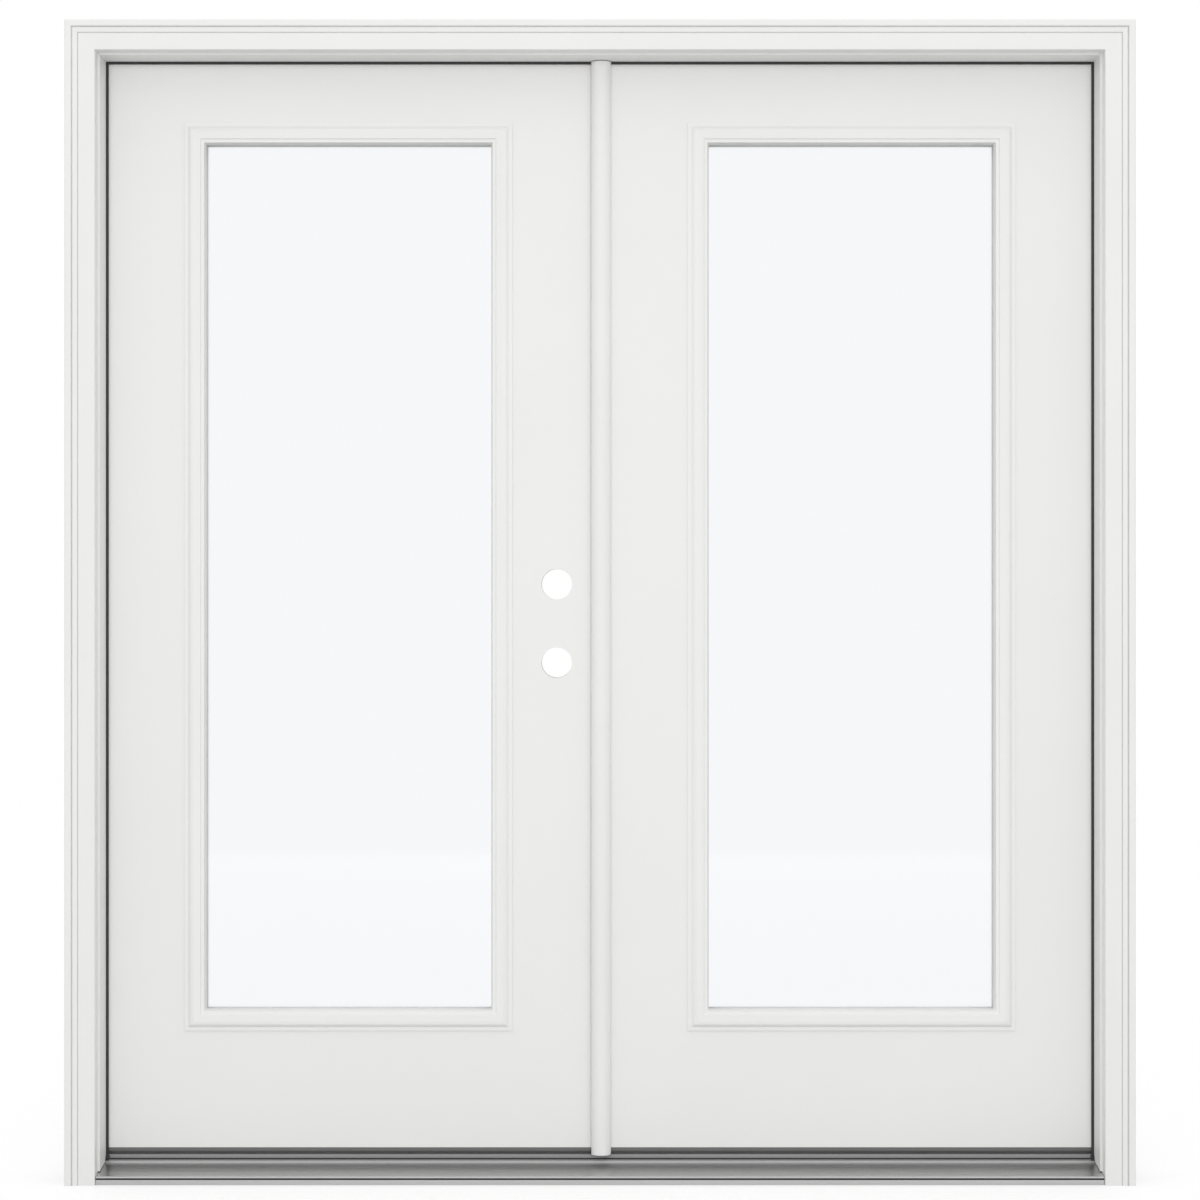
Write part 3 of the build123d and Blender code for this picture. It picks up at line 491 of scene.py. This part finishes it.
def screw_mesh(radius):
    """A countersunk head that looks up, with its cross recess."""
    bm = bmesh.new()
    arm, half = radius * CROSS_ARM_SHARE, radius * CROSS_HALF_SHARE
    quarter = [Vector(point) for point in ((arm, -half), (arm, half), (half, half))]
    turns = [Matrix.Rotation(math.radians(90 * turn), 2) for turn in range(4)]
    rim = [bm.verts.new((*(turn @ point), 0)) for turn in turns for point in quarter]
    loop = [bm.edges.new(pair) for pair in zip(rim, rim[1:] + rim[:1])]
    bmesh.ops.create_circle(bm, segments=SCREW_SEGMENTS, radius=radius)
    bmesh.ops.triangle_fill(bm, use_beauty=True, edges=bm.edges[:])
    recess = bmesh.ops.extrude_edge_only(bm, edges=loop)["geom"]
    bmesh.ops.translate(bm, vec=(0, 0, -CROSS_DEPTH_SHARE * radius), verts=verts_in(recess))
    floor = [item for item in recess if isinstance(item, bmesh.types.BMEdge) and item.is_boundary]
    bmesh.ops.edgeloop_fill(bm, edges=floor)
    side = [edge for edge in bm.edges if edge.is_boundary]
    skirt = bmesh.ops.extrude_edge_only(bm, edges=side)["geom"]
    bmesh.ops.scale(bm, vec=(SHANK_SHARE, SHANK_SHARE, 1), verts=verts_in(skirt))
    bmesh.ops.translate(bm, vec=(0, 0, -HEAD_DEPTH_SHARE * radius), verts=verts_in(skirt))
    foot = [item for item in skirt if isinstance(item, bmesh.types.BMEdge) and item.is_boundary]
    bmesh.ops.edgeloop_fill(bm, edges=foot)
    bmesh.ops.recalc_face_normals(bm, faces=bm.faces)
    mesh = bpy.data.meshes.new("screw")
    bm.to_mesh(mesh)
    bm.free()
    return mesh


def drive(bm, radius, points, facing):
    """Sets a screw at each point, looking along facing."""
    screw = screw_mesh(radius)
    turn = Vector((0, 0, 1)).rotation_difference(Vector(facing)).to_matrix().to_4x4()
    for point in points:
        before = set(bm.verts)
        bm.from_mesh(screw)
        fresh = [vert for vert in bm.verts if vert not in before]
        bmesh.ops.transform(bm, matrix=Matrix.Translation(point) @ turn, verts=fresh)
    bpy.data.meshes.remove(screw)


# Operators


class PATIODOOR_OT_casing(Operator):
    """Makes the brickmould legs and head, mitred at the top corners"""

    bl_idname = "patio_door.casing"
    bl_label = "Brickmould"

    def execute(self, context):
        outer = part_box("head_brickmould")[1]
        inner_x = outer.x - CASING_WIDTH
        inner_z = outer.z - CASING_WIDTH
        corner = (-inner_x, 0, inner_z)
        for hand in ("left", "right"):
            leg = bar(CASING_SECTION, lambda across, out: (-inner_x - across, -out, 0), (0, 0, outer.z))
            mitre(leg, corner, (1, 0, 1))
            if hand == "right":
                turned_over(leg)
            show(f"brickmould_{hand}_leg", leg, "frame", painted_timber(),
                 [f"{hand}_brickmould"])
        span = (2 * outer.x, 0, 0)
        head = bar(CASING_SECTION, lambda across, out: (-outer.x, -out, inner_z + across), span)
        mitre(head, corner, (-1, 0, -1))
        mitre(head, (inner_x, 0, inner_z), (1, 0, -1))
        show("brickmould_head", head, "frame", painted_timber(), ["head_brickmould"])
        return {"FINISHED"}


class PATIODOOR_OT_jambs(Operator):
    """Makes the rabbeted jambs and the head between them"""

    bl_idname = "patio_door.jambs"
    bl_label = "Jambs and head"

    def execute(self, context):
        for node in ("left_jamb", "right_jamb", "head_jamb"):
            show(f"painted_{node}", copied(node), "frame", painted_timber(), [node],
                 sizes().timber_ease)
        return {"FINISHED"}


def threshold_screws():
    """The row of screws that set the height of the threshold cap."""
    bm = bmesh.new()
    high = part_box("threshold_cap")[1]
    reach = high.x - CAP_SCREW_END
    count = sizes().cap_screws
    spots = [-reach + 2 * reach * index / (count - 1) for index in range(count)]
    drive(bm, sizes().screw_radius, [(x, CAP_SCREW_Y, high.z + SCREW_PROUD) for x in spots], (0, 0, 1))
    return bm


class PATIODOOR_OT_sill(Operator):
    """Makes the aluminium sill deck, the threshold cap and its height screws, and the seals along them, two of
    which also paint the shade of the gaps they sit in
    """

    bl_idname = "patio_door.sill"
    bl_label = "Sill and threshold"

    def execute(self, context):
        show("extruded_sill_deck", copied("sill_deck"), "frame", mill_aluminium(),
             ["sill_deck"], sizes().metal_ease)
        show("moulded_threshold_cap", copied("threshold_cap"), "frame", moulded_composite(),
             ["threshold_cap"], sizes().metal_ease)
        show("threshold_screws", threshold_screws(), "frame", satin_nickel())
        dress(moulded_composite(), "sill_substrate")
        dress(seal_foam(), "left_foot_gasket", "right_foot_gasket")
        for name, section, start, end in (
            # Nose gasket: a dark foam seal in the groove under the sill's nose that also paints the groove's shade
            ("nose_shade_gasket", NOSE_SHADE_GASKET, -NOSE_HALF, NOSE_HALF),
            # Cap seal: a dark strip on the ledge under the cap's front, a seal that also paints the shade line of
            # that gap
            ("cap_shade_seal", CAP_SHADE_SEAL, -STOP_HALF, STOP_HALF),
            ("left_corner_pad", CORNER_PAD, -STOP_HALF, -STOP_HALF + PAD_WIDTH),
            ("right_corner_pad", CORNER_PAD, STOP_HALF - PAD_WIDTH, STOP_HALF),
        ):
            seal = bar(section, lambda y, z: (start, y, z), (end - start, 0, 0))
            show(name, seal, "frame", seal_foam())
        return {"FINISHED"}


class PATIODOOR_OT_weatherstrips(Operator):
    """Makes the foam strips that the leaves close against"""

    bl_idname = "patio_door.weatherstrips"
    bl_label = "Weatherstrips"

    def execute(self, context):
        for node in ("left_weatherstrip", "right_weatherstrip", "head_weatherstrip"):
            show(f"foam_{node}", copied(node), "frame", seal_foam(), [node])
        show("foam_astragal_strip", copied("astragal_weatherstrip"), "passive_leaf",
             seal_foam(), ["astragal_weatherstrip"])
        for leaf in LEAVES:
            show(f"{leaf}_bottom_sweep", copied(f"{leaf}_sweep"), f"{leaf}_leaf",
                 sweep_vinyl(), [f"{leaf}_sweep"])
        return {"FINISHED"}


def skin(leaf, face):
    """A steel sheet cut for the lite and the lock, folded back along both upright edges."""
    node = f"{leaf}_{face}_skin"
    low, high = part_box(node)
    lite_low, lite_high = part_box(f"{leaf}_{face}_lite_frame")
    y = low.y if face == "exterior" else high.y
    back = -OUTWARD[face]
    bm = bmesh.new()
    cut = LITE_OVERLAP
    for x0, x1, z0, z1 in (
        (low.x, high.x, low.z, high.z),
        (lite_low.x + cut, lite_high.x - cut, lite_low.z + cut, lite_high.z - cut),
    ):
        rim = [bm.verts.new(point) for point in ((x0, y, z0), (x1, y, z0), (x1, y, z1), (x0, y, z1))]
        for start, end in zip(rim, rim[1:] + rim[:1]):
            bm.edges.new((start, end))
    if leaf == "active":
        upright = Matrix.Rotation(math.radians(90), 4, "X")
        for bore in LOCK_BORES:
            x, _, z = bore["pos_m"]
            place = Matrix.Translation((x, y, z)) @ upright
            radius = bore["dims"]["r_mm"] * MM
            bmesh.ops.create_circle(bm, segments=sizes().bore_segments, radius=radius, matrix=place)
    bmesh.ops.triangle_fill(bm, use_beauty=True, use_dissolve=True, edges=bm.edges[:])
    folds = [edge for edge in bm.edges
             if any(all(abs(vert.co.x - side) < MM for vert in edge.verts) for side in (low.x, high.x))]
    swept = bmesh.ops.extrude_edge_only(bm, edges=folds)["geom"]
    bmesh.ops.translate(bm, vec=(0, back * SKIN_RETURN, 0), verts=verts_in(swept))
    bmesh.ops.bevel(bm, geom=folds, offset=sizes().skin_fold, offset_type="OFFSET", affect="EDGES",
                    segments=FOLD_SEGMENTS, profile=0.5, material=-1)
    bmesh.ops.recalc_face_normals(bm, faces=bm.faces)
    largest = max(bm.faces, key=lambda facet: facet.calc_area())
    if largest.normal.y * OUTWARD[face] < 0:
        bmesh.ops.reverse_faces(bm, faces=bm.faces)
    return bm


class PATIODOOR_OT_leaves(Operator):
    """Makes the steel skins of both leaves and finishes the timber and foam inside them"""

    bl_idname = "patio_door.leaves"
    bl_label = "Leaves"

    def execute(self, context):
        for leaf in LEAVES:
            for face in OUTWARD:
                piece = show(f"{leaf}_{face}_sheet", skin(leaf, face), f"{leaf}_leaf",
                             primed_steel(), [f"{leaf}_{face}_skin"])
                wall = piece.modifiers.new("Sheet", "SOLIDIFY")
                wall.thickness = SKIN_THICKNESS
                wall.offset = -1
                piece.modifiers.move(1, 0)
            for part in ("hinge_stile", "meeting_stile", "top_rail", "bottom_rail"):
                dress(primed_timber(), f"{leaf}_{part}")
            dress(foam_board(), f"{leaf}_foam_core")
        dress(primed_timber(), "active_lock_block")
        return {"FINISHED"}


def screw_plugs(bm, low, high, leaf_y):
    """Low domed plugs along the crest of an inner lite frame."""
    inset = LITE_BORDER - PLUG_OUT
    x_ends, z_ends = ((low[axis] + inset, high[axis] - inset) for axis in (0, 2))
    spots = []
    for ends, across, upright in ((x_ends, z_ends, False), (z_ends, x_ends, True)):
        count = max(2, round((ends[1] - ends[0]) / sizes().plug_pitch))
        steps = [ends[0] + (ends[1] - ends[0]) * (index + 0.5) / count for index in range(count)]
        spots += [(side, step) if upright else (step, side) for side in across for step in steps]
    turn = Matrix.Rotation(math.radians(-90), 4, "X")
    flat = Matrix.Diagonal((1, 1, PLUG_FLATNESS, 1))
    for x, z in spots:
        place = Matrix.Translation((x, leaf_y + PLUG_PROUD, z)) @ turn @ flat
        bmesh.ops.create_uvsphere(bm, u_segments=PLUG_SEGMENTS, v_segments=PLUG_RINGS,
                                  radius=sizes().plug_radius, matrix=place)


class PATIODOOR_OT_lites(Operator):
    """Makes the moulded lite frames and finishes the sealed double glazing"""

    bl_idname = "patio_door.lites"
    bl_label = "Lites"

    def execute(self, context):
        for leaf in LEAVES:
            for face, outward in OUTWARD.items():
                node = f"{leaf}_{face}_lite_frame"
                low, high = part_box(node)
                sheet_low, sheet_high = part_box(f"{leaf}_{face}_skin")
                leaf_y = sheet_low.y if face == "exterior" else sheet_high.y
                middle = (low + high) / 2
                ring = frame_ring(
                    LITE_SECTION, lambda proud: leaf_y + outward * proud, (middle.x, 0, middle.z),
                    (high.x - low.x) / 2 - LITE_BORDER, (high.z - low.z) / 2 - LITE_BORDER)
                if face == "interior":
                    screw_plugs(ring, low, high, leaf_y)
                show(f"{leaf}_{face}_lite_moulding", ring, f"{leaf}_leaf",
                     moulded_plastic(), [node])
                dress(clear_glass(), f"{leaf}_{face}_pane")
            dress(spacer_metal(), f"{leaf}_glass_spacer")
        return {"FINISHED"}


def bolt_housing(node):
    """The housing of a flush bolt with a screw near each corner of its face."""
    bm = copied(node)
    low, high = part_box(node)
    across = (low.y + BOLT_SCREW_SIDE, high.y - BOLT_SCREW_SIDE)
    along = (low.z + BOLT_SCREW_END, high.z - BOLT_SCREW_END)
    points = [(low.x - SCREW_PROUD, y, z) for y in across for z in along]
    drive(bm, sizes().bolt_screw_radius, points, (-1, 0, 0))
    return bm


class PATIODOOR_OT_astragal(Operator):
    """Makes the half-round astragal and its flush bolts"""

    bl_idname = "patio_door.astragal"
    bl_label = "Astragal"

    def execute(self, context):
        show("half_round_astragal", copied("astragal"), "passive_leaf", painted_timber(),
             ["astragal"], sizes().timber_ease)
        for end in ("top", "bottom"):
            case = f"{end}_flush_bolt_case"
            show(f"{end}_bolt_housing", bolt_housing(case), "passive_leaf", satin_nickel(),
                 [case], sizes().metal_ease)
            show(f"{end}_bolt_and_lug", copied(f"{end}_flush_bolt"), f"{end}_flush_bolt",
                 satin_nickel(), [f"{end}_flush_bolt"], sizes().metal_ease)
        return {"FINISHED"}


def hinge_leaf(plate_x, first):
    """The plates of one side with every second knuckle, counted from first, and their screws."""
    bm = bmesh.new()
    pitch = HINGE_HEIGHT / KNUCKLE_COUNT
    back, face = plate_x
    for base in HINGE_BASES:
        brick(bm, plate_x, PLATE_Y, (base, base + HINGE_HEIGHT))
        for index in range(first, KNUCKLE_COUNT, 2):
            foot = base + pitch * index + KNUCKLE_GAP / 2
            tall = pitch - KNUCKLE_GAP
            drum(bm, KNUCKLE_RADIUS, HINGE_AXIS + Vector((0, 0, foot)), tall)
            brick(bm, plate_x, (PLATE_Y[1] - KNUCKLE_LAP, HINGE_AXIS.y), (foot, foot + tall))
    outward = math.copysign(1, face - back)
    x = face + outward * SCREW_PROUD
    points = [(x, y * MM, base + z * MM) for base in HINGE_BASES for y, z in SCREW_PLACES]
    drive(bm, sizes().screw_radius, points, (outward, 0, 0))
    return bm


def hinge_pins():
    """Loose pins with button heads on the top knuckles."""
    bm = bmesh.new()
    for base in HINGE_BASES:
        top = base + HINGE_HEIGHT
        drum(bm, PIN_RADIUS, HINGE_AXIS + Vector((0, 0, base)), HINGE_HEIGHT)
        before = set(bm.edges)
        drum(bm, PIN_HEAD_RADIUS, HINGE_AXIS + Vector((0, 0, top)), PIN_HEAD_HEIGHT)
        head = [edge for edge in bm.edges if edge not in before]
        rim = [edge for edge in head if all(vert.co.z > top + PIN_HEAD_HEIGHT / 2 for vert in edge.verts)]
        bmesh.ops.bevel(bm, geom=rim, offset=PIN_HEAD_HEIGHT * PIN_CROWN_SHARE, offset_type="OFFSET",
                        affect="EDGES", segments=PIN_CROWN_SEGMENTS, profile=0.5, material=-1)
    return bm


class PATIODOOR_OT_hinges(Operator):
    """Makes the butt hinges, their pins and screws"""

    bl_idname = "patio_door.hinges"
    bl_label = "Hinges"

    def execute(self, context):
        for leaf in LEAVES:
            for node, body, made in (
                (f"{leaf}_frame_hinges", "frame", hinge_leaf(FRAME_PLATE_X, 0)),
                (f"{leaf}_leaf_hinges", f"{leaf}_leaf", hinge_leaf(LEAF_PLATE_X, 1)),
                (f"{leaf}_hinge_pins", "frame", hinge_pins()),
            ):
                if leaf == "passive":
                    turned_over(made)
                show(f"nickel_{node}", made, body, satin_nickel(), [node], sizes().metal_ease)
        return {"FINISHED"}


def in_view(tree):
    """1 for rays that show the background, straight or through gloss and glass."""
    path = add(tree, "ShaderNodeLightPath")
    seen = path.outputs["Is Camera Ray"]
    for ray in ("Is Glossy Ray", "Is Transmission Ray"):
        seen = add(tree, "ShaderNodeMath", {0: seen, 1: path.outputs[ray]}, operation="MAXIMUM").outputs[0]
    return seen


def floor_paint():
    # Matt floor that reads as white and takes the door's shadow. Through glass it looks like the background.
    made = bpy.data.materials.new("Studio floor")
    made.use_nodes = True
    tree = made.node_tree
    tree.nodes.clear()
    matt = add(tree, "ShaderNodeBsdfDiffuse", {"Color": (*colours().floor, 1)})
    lift = add(tree, "ShaderNodeEmission", {"Color": FLOOR_LIFT, "Strength": in_view(tree)})
    both = add(tree, "ShaderNodeAddShader", {0: matt.outputs[0], 1: lift.outputs[0]})
    plain = add(tree, "ShaderNodeEmission", {"Color": (1, 1, 1, 1), "Strength": 1.0})
    through = add(tree, "ShaderNodeLightPath").outputs["Is Transmission Ray"]
    seen = add(tree, "ShaderNodeMixShader", {0: through, 1: both.outputs[0], 2: plain.outputs[0]})
    add(tree, "ShaderNodeOutputMaterial", {"Surface": seen.outputs[0]})
    return made


def light_sky(scene, strength):
    """Soft light from all round, which shows as plain white."""
    world = scene.world or bpy.data.worlds.new("Studio")
    scene.world = world
    world.use_nodes = True
    tree = world.node_tree
    tree.nodes.clear()
    soft = add(tree, "ShaderNodeBackground", {"Color": (1, 1, 1, 1), "Strength": strength})
    white = add(tree, "ShaderNodeBackground", {"Color": (1, 1, 1, 1), "Strength": 1.0})
    mix = add(tree, "ShaderNodeMixShader", {0: in_view(tree), 1: soft.outputs[0], 2: white.outputs[0]})
    add(tree, "ShaderNodeOutputWorld", {"Surface": mix.outputs[0]})


def lay_floor(scene):
    """A wide plain floor under the door."""
    bm = bmesh.new()
    bmesh.ops.create_grid(bm, x_segments=1, y_segments=1, size=FLOOR_HALF)
    mesh = bpy.data.meshes.new("studio_floor")
    bm.to_mesh(mesh)
    bm.free()
    mesh.materials.append(floor_paint())
    floor = bpy.data.objects.new("studio_floor", mesh)
    scene.collection.objects.link(floor)


def hang_lamp(scene, power):
    """A large lamp in front, which glass and metal don't mirror."""
    lamp = bpy.data.lights.new("key_lamp", "AREA")
    lamp.shape = "RECTANGLE"
    lamp.size, lamp.size_y = LAMP_SIZE
    lamp.energy = power
    key = bpy.data.objects.new("key_lamp", lamp)
    key.location = LAMP_PLACE
    key.visible_glossy = False
    key.visible_transmission = False
    key.rotation_euler = (LAMP_AIM - LAMP_PLACE).to_track_quat("-Z", "Y").to_euler()
    scene.collection.objects.link(key)


def set_camera(scene, stage):
    """A camera square to the door, outside."""
    lens = bpy.data.cameras.new("camera")
    lens.lens = stage.lens
    lens.sensor_width = SENSOR_WIDTH
    camera = bpy.data.objects.new("camera", lens)
    camera.location = (0, -stage.distance, stage.height)
    camera.rotation_euler = (math.radians(90), 0, 0)
    scene.collection.objects.link(camera)
    scene.camera = camera


class PATIODOOR_OT_stage(Operator):
    """Sets the floor, the soft light, the white background and the camera"""

    bl_idname = "patio_door.stage"
    bl_label = "Studio"

    def execute(self, context):
        scene = context.scene
        stage = scene.patio_door_stage
        scene.view_settings.view_transform = "Standard"
        light_sky(scene, stage.sky)
        lay_floor(scene)
        hang_lamp(scene, stage.key)
        set_camera(scene, stage)
        return {"FINISHED"}


class PATIODOOR_PT_sidebar(Panel):
    """Lists the steps in the order they are run"""

    bl_label = "Patio Door"
    bl_idname = "PATIODOOR_PT_sidebar"
    bl_space_type = "VIEW_3D"
    bl_region_type = "UI"
    bl_category = "Patio Door"

    def draw(self, context):
        for step in STEPS:
            self.layout.operator(step.bl_idname)
        for settings in GROUPS:
            group = getattr(context.scene, settings)
            box = self.layout.box()
            for key in group.__annotations__:
                box.prop(group, key)


GROUPS = {
    "patio_door_sizes": PatioDoorSizes,
    "patio_door_colours": PatioDoorColours,
    "patio_door_stage": PatioDoorStage,
}
STEPS = (
    PATIODOOR_OT_casing, PATIODOOR_OT_jambs, PATIODOOR_OT_sill, PATIODOOR_OT_weatherstrips,
    PATIODOOR_OT_leaves, PATIODOOR_OT_lites, PATIODOOR_OT_astragal, PATIODOOR_OT_hinges, PATIODOOR_OT_stage,
)
CLASSES = (*GROUPS.values(), *STEPS, PATIODOOR_PT_sidebar)


def register():
    for item in CLASSES:
        bpy.utils.register_class(item)
    for name, group in GROUPS.items():
        setattr(bpy.types.Scene, name, PointerProperty(type=group))


def unregister():
    for name in GROUPS:
        delattr(bpy.types.Scene, name)
    for item in reversed(CLASSES):
        bpy.utils.unregister_class(item)


def main():
    register()
    bpy.ops.patio_door.casing()
    bpy.ops.patio_door.jambs()
    bpy.ops.patio_door.sill()
    bpy.ops.patio_door.weatherstrips()
    bpy.ops.patio_door.leaves()
    bpy.ops.patio_door.lites()
    bpy.ops.patio_door.astragal()
    bpy.ops.patio_door.hinges()
    bpy.ops.patio_door.stage()


if __name__ == "__main__":
    main()
